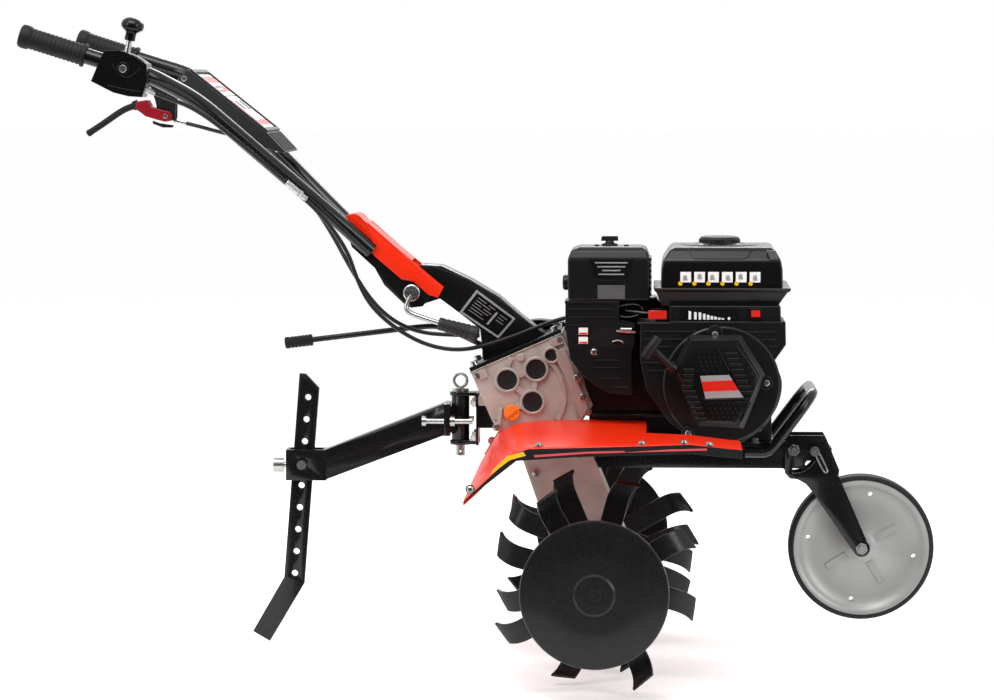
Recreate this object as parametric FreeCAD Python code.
import FreeCAD, Part
import math
import os

# Petrol rotary tiller. Millimetres; +X forward, +Y the machine's left side, +Z up.
# The layout datum lies FLOOR_DROP above the ground that the tines stand on, so every
# finished piece is raised by that much when it is saved.

FLOOR_DROP = 7.0

# driving places, as (x, z) in the machine's side view
AXLE = (181.0, 167.0)           # tine shaft
CRANK = (384.0, 480.5)          # engine crankshaft
INPUT = (78.0, 496.5)           # gearbox input shaft
TILT = (-131.7, 621.5)          # handlebar tilt bolt
WHEEL = (622.8, 193.0)          # transport wheel axle
ARM_PIVOT = (508.5, 358.9)      # transport arm hinge
ARM_LOCK = (543.0, 358.2)       # lock pin of the arm
HITCH_X = -52.5                 # upright hitch pin
CLUTCH_PIVOT = (-587.3, 913.3)
STICK_PIVOT = (-576.0, 994.6)
SHIFT_PIVOT = (-10.0, 522.0)
TENSION_PIVOT = (175.0, 490.0)

# driving sizes
TINE_RADIUS = 174.0
TINE_SETS = (115.0, 225.0, 335.0)
TINE_PHASES = (23.0, -15.0, 31.0)
TINE_THICK = 7.0
DISC_RADIUS = 118.7
DISC_PLACE = 425.0
SHAFT_RADIUS = 15.0
SHAFT_GAP = 0.4
WHEEL_RADIUS = 122.0
WHEEL_HALF_WIDTH = 22.5
TYRE_THICK = 8.5
ARM_TURN = 80.3                 # from wheel down to wheel up
GRIP_PLACE = 290.0
TUBE_RADIUS = 13.0
TUBE_WALL = 2.0
CABLE_RADIUS = 3.5
STAKE_LEAN = 4.54
STAKE_PITCH = 37.6
STAKE_HOLE = 5.3
PIN_RADIUS = 5.0
MODULE = 2.0
PINION_TEETH = 18
GEAR_TEETH = 36
BELT_PLACE = 95.0
ENGINE_PULLEY = 30.0
DRIVEN_PULLEY = 50.0
BELT_HALF = 4.0


def vec(x, y, z):
    return FreeCAD.Vector(x, y, z)


def unit(v):
    return v * (1.0 / v.Length)


def box(x0, x1, y0, y1, z0, z1):
    return Part.makeBox(x1 - x0, y1 - y0, z1 - z0, vec(x0, y0, z0))


def drum(place, radius, y0, y1):
    """A cylinder across the machine, at (x, z), from y0 to y1."""
    return Part.makeCylinder(radius, y1 - y0, vec(place[0], y0, place[1]), vec(0, 1, 0))


def ring(place, outer, inner, y0, y1):
    return drum(place, outer, y0, y1).cut(drum(place, inner, y0 - 1, y1 + 1))


def rod(a, b, radius):
    return Part.makeCylinder(radius, (b - a).Length, a, b - a)


def plate(outline, y0, y1):
    """A side-view outline of (x, z) points, drawn out from y0 to y1."""
    points = [vec(x, y0, z) for x, z in outline]
    face = Part.Face(Part.makePolygon(points + points[:1]))
    return face.extrude(vec(0, y1 - y0, 0))


def fuse(first, *others):
    return first.multiFuse(list(others)).removeSplitter()


def cut(first, *others):
    for other in others:
        first = first.cut(other)
    return first


def mirrored(shape):
    """The same piece on the machine's other side."""
    return shape.mirror(vec(0, 0, 0), vec(0, 1, 0))


def rounded(shape, radius, keep):
    """Rounds the edges for which keep(edge) is true."""
    return shape.makeFillet(radius, [e for e in shape.Edges if keep(e)])


def runs_along(edge, axis):
    line = edge.Vertexes[-1].Point - edge.Vertexes[0].Point
    return line.Length > 1 and abs(abs(unit(line).dot(axis)) - 1) < 1e-6


def arc_middle(corner, a, b):
    """The middle of the arc that is tangent to both runs at a and b."""
    reach = (a - corner).Length
    half = math.asin((a - b).Length / 2 / reach)
    away = unit((a + b) * 0.5 - corner)
    return corner + away * (reach / math.cos(half) - reach * math.tan(half))


def bent_line(points, share=0.45):
    """Straight runs joined by tangent arcs; share is the arc's part of a run."""
    edges = []
    start = points[0]
    for before, corner, after in zip(points, points[1:], points[2:]):
        reach = share * min((before - corner).Length, (after - corner).Length)
        a = corner + unit(before - corner) * reach
        b = corner + unit(after - corner) * reach
        edges.append(Part.LineSegment(start, a).toShape())
        edges.append(Part.Arc(a, arc_middle(corner, a, b), b).toShape())
        start = b
    edges.append(Part.LineSegment(start, points[-1]).toShape())
    return Part.Wire(edges)


def bent_rod(points, radius, share=0.45):
    line = bent_line(points, share)
    circle = Part.makeCircle(radius, points[0], points[1] - points[0])
    return line.makePipeShell([Part.Wire(circle)], True, True)


def arc_points(place, radius, start, stop, count):
    """(x, z) points along an arc about a place, angles from forward, up positive."""
    found = []
    for i in range(count):
        a = math.radians(start + (stop - start) * i / (count - 1))
        found.append((place[0] + radius * math.cos(a), place[1] + radius * math.sin(a)))
    return found


def stadium(a, ra, b, rb, y0, y1):
    """A belt-shaped block round two circles, at (x, z) places a and b."""
    span = math.hypot(b[0] - a[0], b[1] - a[1])
    aim = math.degrees(math.atan2(b[1] - a[1], b[0] - a[0]))
    side = math.degrees(math.acos((ra - rb) / span))
    corners = arc_points(a, ra, aim + side, aim - side, 2)
    corners += arc_points(b, rb, aim - side, aim + side, 2)
    return fuse(plate(corners, y0, y1), drum(a, ra, y0, y1), drum(b, rb, y0, y1))


def save(name, *solids):
    shape = solids[0] if len(solids) == 1 else Part.makeCompound(list(solids))
    shape = shape.copy()
    shape.translate(vec(0, 0, FLOOR_DROP))
    shape.exportStep("parts/" + name + ".step")
    volume = round(shape.Volume / 1000, 1)
    print(name, "solids", len(shape.Solids), "valid", shape.isValid(), "cm3", volume)


# ---------------------------------------------------------------- gearbox
# The case leans forward: u runs along its top, v down its rear side.

CASE_LEAN = 23.6
CASE_CORNER = (-31.0, 490.0)
CASE_TOP = 165.0
CASE_DEPTH = 150.0
CASE_HALF = 75.0
LEG_HALF = 45.0
LEG_RADIUS = 62.0
CASE_WALL = 8.0


def leaning(u, v):
    c = math.cos(math.radians(CASE_LEAN))
    s = math.sin(math.radians(CASE_LEAN))
    return (CASE_CORNER[0] + u * c + v * s, CASE_CORNER[1] + u * s - v * c)


def case_solid(inset):
    """The whole case, or with an inset the hollow inside it."""
    head = [(0 + inset, inset), (CASE_TOP - inset, inset),
            (CASE_TOP - inset, CASE_DEPTH - 20 - inset), (CASE_TOP - 30 - inset, CASE_DEPTH - inset),
            (30 + inset, CASE_DEPTH - inset), (inset, CASE_DEPTH - 45 - inset)]
    leg = [(22 + inset, CASE_DEPTH - 20), (CASE_TOP - 35 - inset, CASE_DEPTH - 20),
           (65 + LEG_RADIUS - inset, 375), (65 - LEG_RADIUS + inset, 375)]
    top = plate([leaning(u, v) for u, v in head], -CASE_HALF + inset, CASE_HALF - inset)
    low = plate([leaning(u, v) for u, v in leg], -LEG_HALF + inset, LEG_HALF - inset)
    foot = drum(AXLE, LEG_RADIUS - inset, -LEG_HALF + inset, LEG_HALF - inset)
    return fuse(top, low, foot)


def second_shaft():
    """The middle shaft stands one gear centre distance below the input shaft."""
    reach = MODULE * (PINION_TEETH + GEAR_TEETH) / 2
    aim = math.atan2(442.0 - INPUT[1], 71.9 - INPUT[0])
    return (INPUT[0] + reach * math.cos(aim), INPUT[1] + reach * math.sin(aim))


MIDDLE = second_shaft()
INPUT_RADIUS = 10.0


def gearbox():
    shell = cut(case_solid(0), case_solid(CASE_WALL))
    shell = cut(shell, drum(AXLE, SHAFT_RADIUS + SHAFT_GAP, -90, 90))
    shell = cut(shell, drum(INPUT, INPUT_RADIUS + SHAFT_GAP, 0, 90))
    for y0, y1, name in ((-100, 0, "gearbox_case_right"), (0, 100, "gearbox_case_left")):
        half = shell.common(box(-200, 400, y0, y1, 0, 700))
        save(name, half)
    cover = [leaning(0, 0), leaning(CASE_TOP, 0), leaning(CASE_TOP, -8), leaning(0, -8)]
    lug = box(SHIFT_PIVOT[0] - 8, SHIFT_PIVOT[0] + 8, -3, 3, 470, SHIFT_PIVOT[1] + 8)
    lug.translate(vec(0, 50, 0))
    lug_far = lug.copy()
    lug_far.translate(vec(0, 20, 0))
    hole = drum(SHIFT_PIVOT, PIN_RADIUS + SHAFT_GAP, 40, 80)
    top = cut(fuse(plate(cover, -CASE_HALF, CASE_HALF), lug, lug_far), case_solid(0), hole)
    save("gearbox_top_cover", top)


CAP_PLACES = ((29.7, 478.4, 16.6), (78.0, 496.5, 16.6), (71.9, 442.0, 16.6), (103.3, 520.1, 10.0))
PLUG_PLACE = (37.4, 423.5)


def gearbox_caps():
    caps = [drum((x, z), r, -CASE_HALF - 5, -CASE_HALF) for x, z, r in CAP_PLACES]
    plug = drum(PLUG_PLACE, 13, -CASE_HALF - 9, -CASE_HALF)
    save("bearing_caps", plug, *caps)


def hex_head(place, radius, y0, y1):
    return plate(arc_points(place, radius, 0, 300, 6), y0, y1)


def case_bolts():
    spots = [leaning(u, v) for u, v in ((8, 8), (157, 8), (157, 118), (8, 92))]
    heads = [hex_head(p, 6.5, -CASE_HALF - 5, -CASE_HALF) for p in spots]
    leg = [leaning(u, v) for u, v in ((30, 200), (110, 200), (20, 320), (112, 320))]
    heads += [hex_head(p, 6.5, -LEG_HALF - 5, -LEG_HALF) for p in leg]
    save("case_bolts", *(heads + [mirrored(h) for h in heads]))


# ---------------------------------------------------------------- drive train

def gear_blank(place, teeth, first, y0, y1):
    """A spur gear with straight-sided teeth and generous backlash."""
    pitch = MODULE * teeth / 2
    outline = []
    for k in range(teeth):
        for radius, half in ((pitch - 2.4, 1.9), (pitch + 1.5, 0.75)):
            outline.append((radius, first + 360.0 * k / teeth - math.degrees(half / radius)))
        for radius, half in ((pitch + 1.5, 0.75), (pitch - 2.4, 1.9)):
            outline.append((radius, first + 360.0 * k / teeth + math.degrees(half / radius)))
    points = [arc_points(place, r, a, a + 1, 2)[0] for r, a in outline]
    return plate(points, y0, y1)


SPROCKET_SMALL = 28.2
SPROCKET_LARGE = 48.2
CHAIN_HALF = 3.5
CHAIN_GAP = 0.6


def drive_train():
    aim = math.degrees(math.atan2(MIDDLE[1] - INPUT[1], MIDDLE[0] - INPUT[0]))
    pinion = gear_blank(INPUT, PINION_TEETH, aim + 180.0 / PINION_TEETH, -45, -25)
    shaft = drum(INPUT, INPUT_RADIUS, -66, 108)
    save("input_shaft", fuse(shaft, pinion))
    gear = gear_blank(MIDDLE, GEAR_TEETH, aim + 180, -43, -27)
    wheel = drum(MIDDLE, SPROCKET_SMALL - CHAIN_HALF - CHAIN_GAP, -5, 5)
    save("intermediate_gear", fuse(drum(MIDDLE, 9, -66, 66), gear, wheel))
    outer = stadium(AXLE, SPROCKET_LARGE + CHAIN_HALF, MIDDLE, SPROCKET_SMALL + CHAIN_HALF, -6, 6)
    inner = stadium(AXLE, SPROCKET_LARGE - CHAIN_HALF, MIDDLE, SPROCKET_SMALL - CHAIN_HALF, -7, 7)
    save("drive_chain", cut(outer, inner))


def pulley(place, pitch):
    blank = drum(place, pitch + BELT_HALF, BELT_PLACE - 11, BELT_PLACE + 11)
    groove = ring(place, pitch + 20, pitch - BELT_HALF - 0.5, BELT_PLACE - 7, BELT_PLACE + 7)
    return cut(blank, groove)


def belt_drive():
    save("driven_pulley", cut(pulley(INPUT, DRIVEN_PULLEY), drum(INPUT, INPUT_RADIUS, 0, 200)))
    low, high = BELT_PLACE - 6.5, BELT_PLACE + 6.5
    wide, narrow = DRIVEN_PULLEY + BELT_HALF, DRIVEN_PULLEY - BELT_HALF
    outer = stadium(INPUT, wide, CRANK, ENGINE_PULLEY + BELT_HALF, low, high)
    inner = stadium(INPUT, narrow, CRANK, ENGINE_PULLEY - BELT_HALF, low - 1, high + 1)
    save("drive_belt", cut(outer, inner))
    shell = cut(stadium(INPUT, 72, CRANK, 55, 80, 122), stadium(INPUT, 69.5, CRANK, 52.5, 79, 119.5))
    posts = [drum((INPUT[0] - 63, INPUT[1]), 4, CASE_HALF, 121)]
    posts.append(drum((INPUT[0], INPUT[1] - 63), 4, CASE_HALF, 121))
    posts.append(drum((CRANK[0], CRANK[1] - 45), 4, CASE_FAR, 121))
    stub = drum(TENSION_PIVOT, 5, 105, 121)
    save("belt_guard", fuse(shell, stub, *posts))
    roller = (230.0, 497.0)
    arm = stadium(TENSION_PIVOT, 10, roller, 8, 107.5, 111.5)
    arm = cut(arm, drum(TENSION_PIVOT, 5 + SHAFT_GAP, 100, 120))
    save("tensioner", fuse(arm, drum(roller, 18, 88, 104), drum(roller, 5, 104, 108)))


# ---------------------------------------------------------------- tines

def blade(angle, side):
    """One tine: a curved flat bar whose outer end is bent across the machine."""
    outer = [(24, -12), (70, -15), (115, -17), (150, -13)]
    inner = [(152, -1), (118, 2), (70, 4), (24, 12)]
    turn = {24: 0, 70: -6, 115: -16, 118: -16, 150: -27, 152: -27}
    points = []
    for radius, offset in outer + inner:
        a = angle + turn[radius] + math.degrees(offset / radius)
        points += arc_points(AXLE, radius, a, a, 2)[:1]
    flat = plate(points, -TINE_THICK / 2, TINE_THICK / 2)
    start = angle - 27 + math.degrees(-13 / 150.0)
    rim = arc_points(AXLE, TINE_RADIUS, start - 2, start + 16, 5)
    low = arc_points(AXLE, TINE_RADIUS - 26, start + 16, start - 2, 5)
    reach = 40 * side
    tip = plate(rim + low, min(0, reach), max(0, reach))
    hollow = arc_points(AXLE, TINE_RADIUS - 7, start - 9, start + 23, 7)
    under = arc_points(AXLE, TINE_RADIUS - 40, start + 23, start - 9, 7)
    y0, y1 = sorted((side * TINE_THICK / 2, reach + side))
    return fuse(flat, cut(tip, plate(hollow + under, y0, y1)))


def tine_sets(side):
    """Hub tube, flanges and four blades to each of the three sets of one side."""
    y0, y1 = sorted((side * (LEG_HALF + 6), side * (DISC_PLACE - 6)))
    pieces = [ring(AXLE, SHAFT_RADIUS + 6, SHAFT_RADIUS, y0, y1)]
    for place, phase in zip(TINE_SETS, TINE_PHASES):
        middle = side * place
        flange = ring(AXLE, 38, SHAFT_RADIUS, middle - TINE_THICK / 2, middle + TINE_THICK / 2)
        pieces.append(flange)
        for k in range(4):
            tine = blade(phase + 35 + 90 * k + (45 if side > 0 else 0), side if k % 2 else -side)
            tine.translate(vec(0, middle, 0))
            pieces.append(tine)
    return fuse(*pieces)


def rotor():
    shaft = drum(AXLE, SHAFT_RADIUS, -DISC_PLACE - 2, DISC_PLACE + 2)
    wheel = drum(AXLE, SPROCKET_LARGE - CHAIN_HALF - CHAIN_GAP, -5, 5)
    save("tine_shaft", fuse(shaft, wheel))
    save("tine_set_right", tine_sets(-1))
    save("tine_set_left", tine_sets(1))
    face = ring(AXLE, DISC_RADIUS, SHAFT_RADIUS, DISC_PLACE - 3, DISC_PLACE)
    lip = ring(AXLE, DISC_RADIUS, DISC_RADIUS - 3, DISC_PLACE - 12, DISC_PLACE)
    hub = ring(AXLE, 28, SHAFT_RADIUS, DISC_PLACE - 6, DISC_PLACE + 2)
    disc = fuse(face, lip, hub)
    save("guard_discs", mirrored(disc), disc)


# ---------------------------------------------------------------- frame and wheel

BEAM_HALF = 28.0
BEAM_LOW = 327.0
PLATE_LOW = 371.0
PLATE_TOP = 377.0
ARM_PLATE = 5.0
ARM_INNER = BEAM_HALF + 0.4


def frame():
    tube = cut(box(150, 528, -BEAM_HALF, BEAM_HALF, BEAM_LOW, PLATE_LOW),
               box(140, 540, -BEAM_HALF + 4, BEAM_HALF - 4, BEAM_LOW + 4, PLATE_LOW - 4))
    ears = [box(520, 552, -BEAM_HALF, -BEAM_HALF + 5, 340, PLATE_LOW)]
    ears.append(mirrored(ears[0]))
    bed = box(255, 476, -108, 108, PLATE_LOW, PLATE_TOP)
    for side in (-1, 1):
        y0, y1 = sorted((side * 86, side * 114))
        bed = cut(bed, box(446, 480, y0, y1, PLATE_LOW - 5, PLATE_TOP + 5))
    beam = cut(fuse(tube, bed, *ears), case_solid(0))
    beam = cut(beam, drum(ARM_PIVOT, 6 + SHAFT_GAP, -40, 40), drum(ARM_LOCK, STAKE_HOLE, -40, 40))
    save("front_beam", beam)
    save("wheel_lock_pin", fuse(drum(ARM_LOCK, PIN_RADIUS, -46, 46), drum(ARM_LOCK, 8, -53, -46)))
    path = [vec(425, -100, 362), vec(465, -100, 362), vec(537, -100, 458)]
    path += [vec(537, 100, 458), vec(465, 100, 362), vec(425, 100, 362)]
    save("bumper_hoop", bent_rod(path, 9.0, 0.32))


def arm_plate():
    """One cheek of the transport arm, with a slot for the fixed lock pin."""
    outline = [(493.6, 383.1), (493.6, 319.9), (502.2, 310.5), (515.6, 309.1), (529.5, 300.9)]
    outline += [(540.8, 286.9), (609.5, 187.5), (631.5, 205.3), (583.6, 315.3), (584.8, 324.9)]
    outline += [(563.6, 376.3), (559.6, 383.1)]
    cheek = fuse(plate(outline, ARM_INNER, ARM_INNER + ARM_PLATE),
                 drum(WHEEL, 14, ARM_INNER, ARM_INNER + ARM_PLATE))
    reach = math.hypot(ARM_LOCK[0] - ARM_PIVOT[0], ARM_LOCK[1] - ARM_PIVOT[1])
    low = arc_points(ARM_PIVOT, reach - PIN_RADIUS - 0.6, 12, -ARM_TURN - 14, 15)
    high = arc_points(ARM_PIVOT, reach + PIN_RADIUS + 0.6, -ARM_TURN - 14, 12, 15)
    return cut(cheek, plate(low + high, 0, 60))


def transport_wheel():
    cheek = arm_plate()
    hinge = drum(ARM_PIVOT, 6, -ARM_INNER - 13, ARM_INNER + 13)
    axle = drum(WHEEL, 6, -ARM_INNER - 12, ARM_INNER + 12)
    bridge = box(566, 572, -ARM_INNER, ARM_INNER, 340, 362)
    save("fork_arm", fuse(cheek, mirrored(cheek), hinge, axle, bridge))
    y1 = WHEEL_HALF_WIDTH
    rim = ring(WHEEL, WHEEL_RADIUS - TYRE_THICK, WHEEL_RADIUS - TYRE_THICK - 4, -y1 + 1, y1 - 1)
    dish = ring(WHEEL, WHEEL_RADIUS - TYRE_THICK - 3, 10, -3, 3)
    hub = ring(WHEEL, 20, 6 + SHAFT_GAP, -y1, y1)
    save("wheel_rim", fuse(rim, dish, hub))
    save("wheel_tyre", ring(WHEEL, WHEEL_RADIUS, WHEEL_RADIUS - TYRE_THICK, -y1, y1))


FENDER_EDGE = 385.0
FENDER_INNER = 75.2
FENDER_THICK = 3.0


def fender_profile(points, y, drop):
    low = [vec(x, y, z - drop) for x, z in reversed(points)]
    high = [vec(x, y, z) for x, z in points]
    return Part.makePolygon(high + low + high[:1])


def fenders():
    outer = [(-28, 315), (52, 392.6), (70, 398), (243, 401), (330, 405), (414, 394)]
    inner = [(7, 380), (60, 407), (81, 410), (243, 414), (330, 404), (414, 394)]
    walls = [fender_profile(outer, -FENDER_EDGE, FENDER_THICK),
             fender_profile(inner, -FENDER_INNER, FENDER_THICK)]
    sheet = Part.makeLoft(walls, True, True)
    lip = [(x, z - FENDER_THICK / 2) for x, z in outer]
    skirt = lip + [(x, z - 15) for x, z in reversed(lip[1:])] + [(-36, 302)]
    sheet = fuse(sheet, plate(skirt, -FENDER_EDGE, -FENDER_EDGE + FENDER_THICK))
    right = cut(sheet, box(262, 430, -238, -60, 300, 500))
    save("fender_right", right)
    save("fender_left", mirrored(right))


# ---------------------------------------------------------------- engine

CASE_NEAR = -60.0
CASE_FAR = 40.0
HEAD_LEAN = 25.0


def along_head(s, t):
    """Side-view place at s along the cylinder's centre line and t above it."""
    c = math.cos(math.radians(HEAD_LEAN))
    d = math.sin(math.radians(HEAD_LEAN))
    return (CRANK[0] - s * c + t * d, CRANK[1] + s * d + t * c)


def head_block(s0, s1, half, width):
    corners = [along_head(s0, -half), along_head(s1, -half), along_head(s1, half), along_head(s0, half)]
    return plate(corners, -width, width)


def engine_block():
    body = box(300, 470, CASE_NEAR, CASE_FAR, PLATE_TOP, 560)
    body = rounded(body, 18, lambda e: runs_along(e, vec(0, 1, 0)) and e.CenterOfMass.z > 500)
    body = cut(body, box(308, 462, CASE_NEAR + 8, CASE_FAR - 8, PLATE_TOP + 8, 550))
    save("crankcase", cut(body, drum(CRANK, INPUT_RADIUS + SHAFT_GAP, -70, 60)))
    core = head_block(90, 222, 33, 29)
    fins = [head_block(104 + 11 * k, 108 + 11 * k, 44, 38) for k in range(11)]
    head = cut(fuse(core, *fins), box(300, 470, CASE_NEAR, CASE_FAR, PLATE_TOP, 580))
    head = cut(head, drum(CRANK, 92, -60, 40))
    cover = rounded(head_block(222, 254, 34, 34), 6, lambda e: True)
    save("cylinder_block", head, cover)
    shaft = drum(CRANK, INPUT_RADIUS, -168, 110)
    webs = fuse(shaft, drum(CRANK, 34, -30, -16), drum(CRANK, 34, 0, 14))
    flywheel = ring(CRANK, 82, INPUT_RADIUS, -150, -95)
    wheel = cut(pulley(CRANK, ENGINE_PULLEY), drum(CRANK, INPUT_RADIUS, 0, 200))
    save("crankshaft", webs, flywheel, wheel)


def engine_covers():
    outline = [(251, 583), (299, 583), (299, 608), (480, 608), (488, 583), (488, 550), (473, 519)]
    outline += [(484, 468), (458, 408), (415, 384), (350, 384), (300, 417), (262, 470), (251, 520)]
    low = [(254, 580), (302, 580), (302, 605), (478, 605), (485, 582), (485, 551), (470, 519)]
    low += [(480, 468), (455, 410), (414, 387), (351, 387), (302, 420), (265, 471), (254, 521)]
    shroud = cut(plate(outline, -180, CASE_NEAR), plate(low, -177, CASE_NEAR + 1))
    shroud = cut(shroud, drum(CRANK, 80, -190, -170), box(429.5, 449, -190, -170, 589.5, 604.5))
    save("blower_housing", shroud)
    hexagon = [(328, 562.5), (420.5, 562.8), (457.1, 496.2), (424.2, 411.3), (348.9, 417.1)]
    hexagon.append((304.8, 501.2))
    hollow = [(330.5, 559), (418.5, 559), (453, 496), (422, 415), (351, 420.5), (308.5, 501.2)]
    cap = cut(plate(hexagon, -214, -183), plate(hollow, -211, -182))
    flange = cut(ring(CRANK, 95, 78, -183, -180), plate(hollow, -190, -179))
    slots = [box(326, 346, -220, -205, 450 + 12 * k, 455 + 12 * k) for k in range(7)]
    slots += [box(424, 440, -220, -205, 450 + 12 * k, 455 + 12 * k) for k in range(7)]
    save("recoil_cover", cut(fuse(cap, flange), *slots))
    bar = rod(vec(277, -225, 559.8), vec(262.5, -225, 530.5), 9)
    stem = rod(vec(299, -225, 516.5), vec(270, -225, 545), 6)
    save("recoil_handle", fuse(bar, stem))
    red = box(432, 446.5, -184, -174, 591.6, 602.2)
    save("stop_switch", red)


def fuel_system():
    tank = box(284, 486, -165, 45, 638, 703.5)
    tank = rounded(tank, 16, lambda e: e.CenterOfMass.z > 640)
    lip = box(273, 497, -172, 52, 632, 638)
    skirt = box(281, 486, -160, 40, 609, 632)
    body = fuse(tank, lip, skirt)
    body = cut(body, box(288, 480, -158, 38, 641, 699), box(286, 481, -155, 35, 600, 629))
    save("fuel_tank", body)
    cap = Part.makeCylinder(33.6, 14, vec(382, -60, 704))
    save("fuel_cap", cap)
    base = [(132, 616), (132.7, 512.7), (208.4, 457), (238, 457), (238, 530), (216, 545), (216, 616)]
    inside = [(136, 612), (137, 516), (210, 461), (234, 461), (234, 528), (212, 543), (212, 612)]
    save("air_filter_base", cut(plate(base, -150, -76), plate(inside, -146, -80)))
    cover = rounded(box(127, 267, -152, -42, 616.4, 704), 12,
                    lambda e: e.CenterOfMass.z > 620)
    save("filter_cover", cut(cover, box(132, 262, -147, -47, 610, 698)))
    knob = Part.makeCylinder(14, 9, vec(200, -96, 704.4))
    wing = box(185.5, 214.5, -99, -93, 711, 720)
    save("filter_knob", fuse(knob, wing))
    body = box(218, 250, -68, -39, 505, 555)
    bowl = Part.makeCylinder(13, 26, vec(234, -54, 480))
    save("carburettor", fuse(body, bowl, rod(vec(243, -55, 550), vec(243, -55, 590), 3)))
    save("choke_lever", rod(vec(219, -152, 568), vec(237, -152, 568), 4))
    arm = box(276, 282, -150, -80, 588, 591)
    tab = rounded(box(264, 295, -174, -150, 587, 600), 5, lambda e: runs_along(e, vec(0, 0, 1)))
    post = Part.makeCylinder(6, 14, vec(279, -80, 584.5))
    save("engine_throttle", fuse(arm, tab, post))


def exhaust():
    shell = rounded(box(140, 282, 56, 138, 604, 694), 16, lambda e: True)
    pipe = rod(vec(190, 36, 585), vec(190, 70, 612), 12)
    head = fuse(head_block(90, 222, 33, 29), head_block(104, 218, 44, 38), head_block(222, 254, 34, 34))
    save("muffler", cut(fuse(shell, pipe), head))


# ---------------------------------------------------------------- handlebar

def tube_path(side):
    places = [(-200, 40, 692), (-258, 60, 746), (-471, 200, 944.5), (-541, 270, 986)]
    places += [(-611, 284, 1006.5), (-741, GRIP_PLACE, 1047.5)]
    return [vec(x, side * y, z) for x, y, z in places]


CROSS_BAR = (-410.0, 887.5)
YOKE_IN = 34.0
YOKE_OUT = 40.0


def column():
    outline = [(-117, 668), (-82.2, 665.8), (-34, 643.2), (14, 614.5), (62.3, 572.8), (91, 553)]
    outline += [leaning(103, -8), leaning(24, -8), (-17.9, 560.1), (-50, 585.2), (-85.1, 611)]
    outline += [(-122, 599), (-148, 606), (-156, 630)]
    inside = [(-103, 660), (-84, 659), (-37, 637), (10, 609), (57, 568), (80, 552)]
    inside += [leaning(94, -14), leaning(31, -14), (-11.5, 563), (-45, 590), (-82, 617), (-97, 623)]
    shell = cut(plate(outline, -32, 32), plate(inside, -27, 27))
    save("handle_column", cut(shell, drum(TILT, 8 + SHAFT_GAP, -40, 40)))


def yoke():
    outline = [(-246, 735), (-232.5, 697.7), (-194, 662.6), (-177.9, 633.8), (-145.9, 603.3)]
    outline += [(-133.3, 595.9), (-113.8, 598.5), (-100, 614.7), (-104, 632), (-150, 680), (-228, 744)]
    cheek = plate(outline, YOKE_IN, YOKE_OUT)
    web = plate([(-240, 728), (-229, 701), (-200, 675), (-188, 684), (-226, 736)], -YOKE_IN, YOKE_IN)
    bolt = drum(TILT, 8, -48, 46)
    body = fuse(cheek, mirrored(cheek), web, bolt)
    tubes = [bent_rod(tube_path(s), TUBE_RADIUS, 0.4) for s in (-1, 1)]
    save("handle_yoke", cut(body, *tubes))


def tubes():
    pieces = []
    for side in (-1, 1):
        solid = bent_rod(tube_path(side), TUBE_RADIUS, 0.4)
        bore = bent_rod(tube_path(side), TUBE_RADIUS - TUBE_WALL, 0.4)
        pieces.append(cut(solid, bore))
    bar = drum(CROSS_BAR, 8, -158, 158)
    bar = cut(bar, *[bent_rod(tube_path(s), TUBE_RADIUS, 0.4) for s in (-1, 1)])
    longest = sorted(bar.Solids, key=lambda s: s.Volume)[-1]
    save("handle_tubes", longest, *pieces)


def grips():
    found = []
    for side in (-1, 1):
        inner, end = tube_path(side)[-2:]
        along = unit(end - inner)
        sleeve = rod(end - along * 104, end + along * 4, 17.5)
        core = rod(end - along * 110, end, TUBE_RADIUS)
        collar = cut(rod(end - along * 106, end - along * 101, 19.5), core)
        found.append(fuse(cut(sleeve, core), collar))
    save("handle_grips", *found)


STICK_PLACE = -297.0


def throttle_control():
    outline = [(-606.2, 1023.8), (-538.6, 1003.8), (-548.7, 948.6), (-590, 956), (-629.2, 975)]
    body = rounded(plate(outline, -306, -250), 5, lambda e: runs_along(e, vec(0, 1, 0)))
    slot = box(-622, -530, STICK_PLACE - 6, STICK_PLACE + 6, 984, 1040)
    body = cut(body, bent_rod(tube_path(-1), TUBE_RADIUS, 0.4), slot)
    save("throttle_box", body)
    x, z = STICK_PIVOT
    lean = unit(vec(-560.8 - x, 0, 1065.4 - z))
    start = vec(x, STICK_PLACE, z)
    stem = rod(start, start + lean * 60, 5)
    collar = rod(start + lean * 48, start + lean * 62, 9)
    ball = Part.makeSphere(17, start + lean * 72)
    eye = drum(STICK_PIVOT, 7, STICK_PLACE - 4.5, STICK_PLACE + 4.5)
    save("throttle_stick", fuse(stem, collar, ball, eye))


def console():
    outline = [(-516.8, 976.7), (-498.4, 998.1), (-366, 892.4), (-336.2, 857.7), (-379.4, 866)]
    outline.append((-487, 958.5))
    body = rounded(plate(outline, -100, 100), 4, lambda e: runs_along(e, vec(0, 1, 0)))
    save("console", cut(body, drum(CROSS_BAR, 8, -160, 160)))


HOOD_IN = 41.5
HOOD_OUT = 44.5


def hood():
    outline = [(-241.6, 750.8), (-225.4, 754), (-78.1, 631.3), (-87.7, 613.3), (-103.8, 618.1)]
    outline += [(-129.5, 640.5), (-148.7, 643.7), (-193.5, 682.1), (-219.1, 714), (-240, 736.4)]
    side = plate(outline, HOOD_IN, HOOD_OUT)
    web = plate([(-241.6, 750.8), (-225.4, 754), (-131.7, 675.8), (-133.7, 673.4), (-225.8, 750.5),
                 (-239, 748)], -HOOD_IN, HOOD_IN)
    body = fuse(side, mirrored(side), web)
    save("column_cover", cut(body, *[bent_rod(tube_path(s), TUBE_RADIUS, 0.4) for s in (-1, 1)]))


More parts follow.
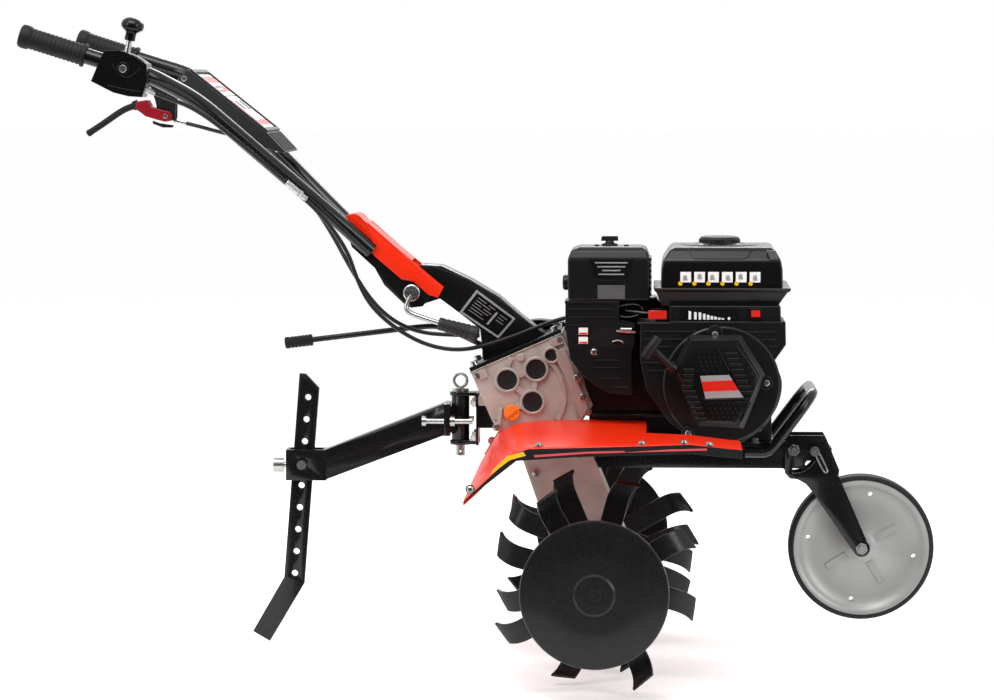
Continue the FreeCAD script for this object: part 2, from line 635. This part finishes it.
def clutch_control():
    outline = [(-618, 992), (-566, 984), (-569.2, 959.2), (-570, 905), (-600, 912), (-606, 940)]
    outline.append((-615, 966))
    body = plate(outline, 276, 300)
    slot = box(-660, -560, 281, 295, 880, 979)
    body = cut(body, bent_rod(tube_path(1), TUBE_RADIUS, 0.4), slot)
    pin = drum(CLUTCH_PIVOT, 4, 281, 295)
    save("clutch_bracket", fuse(body, pin))
    root = [(-587.3, 925), (-600, 928), (-620, 946), (-641, 942), (-645, 924), (-620, 912)]
    root += [(-600, 901), (-587, 901)]
    lever = fuse(plate(root, 282.5, 293.5), drum(CLUTCH_PIVOT, 12, 282.5, 293.5))
    lever = cut(lever, drum(CLUTCH_PIVOT, 4 + SHAFT_GAP, 270, 300))
    sleeve = bent_rod([vec(-640, 288, 933.6), vec(-680, 288, 922), vec(-728, 288, 881.5)], 8)
    save("clutch_lever", cut(lever, sleeve), sleeve)
    hook = [(-612, 905), (-612, 900), (-594, 893), (-577, 893), (-575, 897), (-600, 900.5)]
    save("lever_catch", plate(hook, 283, 293))


def clamp():
    x, z = TILT
    boss = drum(TILT, 14, -58, -49)
    stem = bent_rod([vec(x, -55, z - 6), vec(-141.2, -58, 591), vec(-83.5, -62, 572.7)], 5, 0.4)
    grip = rod(vec(-86.8, -62, 571.1), vec(-18.2, -62, 552), 12)
    save("clamp_lever", fuse(boss, stem), cut(grip, stem))


# cable routes, chosen by hand along the handlebar and down to the engine and column
THROTTLE_ROUTE = ((-543, -284, 961), (-512, -262, 948), (-470, -222, 930), (-412, -182, 882),
                  (-356, -144, 830), (-306, -111, 783), (-266, -86, 738), (-236, -70, 690),
                  (-222, -64, 644), (-200, -61, 600), (-158, -60, 562), (-106, -60, 534),
                  (-50, -60, 525), (6, -60, 538), (63, -60, 559), (116, -61, 580), (166, -62, 588),
                  (216, -62, 580))
CLUTCH_ROUTE = ((-571, 288, 905), (-540, 285, 898), (-500, 262, 888), (-452, 222, 878),
                (-404, 180, 856), (-354, 136, 812), (-306, 84, 760), (-268, 20, 712),
                (-236, -30, 662), (-200, -32, 606), (-164, -26, 572), (-120, -22, 553),
                (-70, -20, 549), (-19, -20, 548))


def arc_radii(route):
    """The arc radius at each inner point of a cable's route."""
    found = []
    for a, b, c in zip(route, route[1:], route[2:]):
        one, two = vec(*a) - vec(*b), vec(*c) - vec(*b)
        turn = math.pi - one.getAngle(two)
        found.append(round(0.45 * min(one.Length, two.Length) / math.tan(turn / 2)))
    return found


def cables():
    for name, route in (("throttle_cable", THROTTLE_ROUTE), ("clutch_cable", CLUTCH_ROUTE)):
        points = [vec(*p) for p in route]
        tube = bent_rod(points, CABLE_RADIUS)
        length = bent_line(points).Length
        section = math.pi * CABLE_RADIUS ** 2
        print(name, "length", round(length), "radii", arc_radii(route),
              "fill", round(tube.Volume / (section * length), 3))
        save(name, tube)


def shifter():
    pivot = vec(SHIFT_PIVOT[0], 60, SHIFT_PIVOT[1])
    path = [pivot, vec(-62, 60, 548), vec(-104.3, 60, 559.6), vec(-345, 60, 530)]
    stem = bent_rod(path, 5, 0.4)
    eye = fuse(drum(SHIFT_PIVOT, 9, 54, 66), drum(SHIFT_PIVOT, PIN_RADIUS, 44, 76))
    grip = rod(vec(-308.6, 60, 534.5), vec(-356, 60, 528.6), 10)
    save("shift_lever", fuse(stem, eye), cut(grip, stem))


# ---------------------------------------------------------------- hitch and stake

EAR_LOW = 364.0
EAR_TOP = 452.0


def hitch():
    back = box(-24.6, -20.6, -35, 35, EAR_LOW, EAR_TOP)
    ear = Part.makeCylinder(18, 6, vec(HITCH_X, 0, EAR_TOP - 6))
    ear = fuse(ear, box(HITCH_X, -22, -18, 18, EAR_TOP - 6, EAR_TOP))
    low = ear.copy()
    low.translate(vec(0, 0, EAR_LOW - EAR_TOP + 6))
    stub = cut(box(-20.6, 40, -20, 20, 392, 430), case_solid(0))
    body = fuse(back, ear, low, stub)
    save("hitch_bracket", cut(body, Part.makeCylinder(7.9, 200, vec(HITCH_X, 0, 300))))
    shank = Part.makeCylinder(7.5, 114, vec(HITCH_X, 0, 344))
    collar = Part.makeCylinder(14, 5, vec(HITCH_X, 0, EAR_TOP + 0.5))
    eye = Part.makeTorus(11, 2.6, vec(HITCH_X, 0, 471), vec(0, 1, 0))
    hole = drum((HITCH_X, 351), 2, -20, 20)
    save("hitch_pin", cut(fuse(shank, collar, eye), hole))


DRAW_HALF = 20.0


def drawbar():
    barrel = Part.makeCylinder(15, EAR_TOP - EAR_LOW - 13, vec(HITCH_X, 0, EAR_LOW + 6.5))
    face = box(-78.8, -68.6, -34, 34, 379.7, 433.2)
    link = box(-70, HITCH_X, -12, 12, 384, 428)
    tube = plate([(-78.8, 433.2), (-78.8, 379.7), (-281, 303), (-281, 353.6)], -DRAW_HALF, DRAW_HALF)
    bore = plate([(-70, 431), (-70, 389), (-300, 302), (-300, 343)], -DRAW_HALF + 4, DRAW_HALF - 4)
    inside = box(-341.5, -284.8, -16, 16, 290, 370)
    socket = cut(box(-347, -278.8, -22, 22, 302, 354), inside)
    body = fuse(cut(tube, bore.common(box(-281, -82, -50, 50, 0, 600))), face, barrel, link, socket)
    body = cut(body, inside, Part.makeCylinder(7.9, 200, vec(HITCH_X, 0, 300)))
    bolts = [rod(vec(-110, s * 25, 404), vec(-31, s * 25, 404), 5) for s in (-1, 1)]
    heads = [rod(vec(-116, s * 25, 404), vec(-109, s * 25, 404), 9) for s in (-1, 1)]
    nuts = [rod(vec(-68.6, s * 25, 404), vec(-61, s * 25, 404), 9) for s in (-1, 1)]
    screws = [fuse(b, h, n) for b, h, n in zip(bolts, heads, nuts)]
    pin = fuse(drum(PIN_PLACE, PIN_RADIUS, -34, 32), drum(PIN_PLACE, 8, -34, -26))
    knob = rod(vec(-369.5, 0, 326.5), vec(-338.2, 0, 326.5), 5)
    knob = fuse(knob, rod(vec(-369.5, 0, 326.5), vec(-352, 0, 326.5), 13))
    save("drawbar", cut(body, *(screws + [pin, knob])))
    save("drawbar_bolts", pin, knob, *screws)


def stake_point(distance, offset):
    """Side-view place on the stake: distance above its locked hole, offset forward."""
    s, c = math.sin(math.radians(STAKE_LEAN)), math.cos(math.radians(STAKE_LEAN))
    return (PIN_PLACE[0] + distance * s + offset * c, PIN_PLACE[1] + distance * c - offset * s)


PIN_PLACE = (-319.3, 329.2)


def stake():
    top = [stake_point(152, -17.5), stake_point(152, -7), stake_point(130, 17.5)]
    foot = [stake_point(-204, 17.5), (-377.1, 25.2), (-406, 42.1), stake_point(-196, -17.5)]
    bar = plate(top + foot, -5, 5)
    holes = [drum(stake_point(STAKE_PITCH * k, 0), STAKE_HOLE, -10, 10) for k in range(-5, 4)]
    save("stake", cut(bar, *holes))


os.makedirs("parts", exist_ok=True)
gearbox()
gearbox_caps()
case_bolts()
drive_train()
belt_drive()
rotor()
frame()
transport_wheel()
fenders()
engine_block()
engine_covers()
fuel_system()
exhaust()
column()
yoke()
tubes()
grips()
throttle_control()
console()
hood()
clutch_control()
clamp()
cables()
shifter()
hitch()
drawbar()
stake()
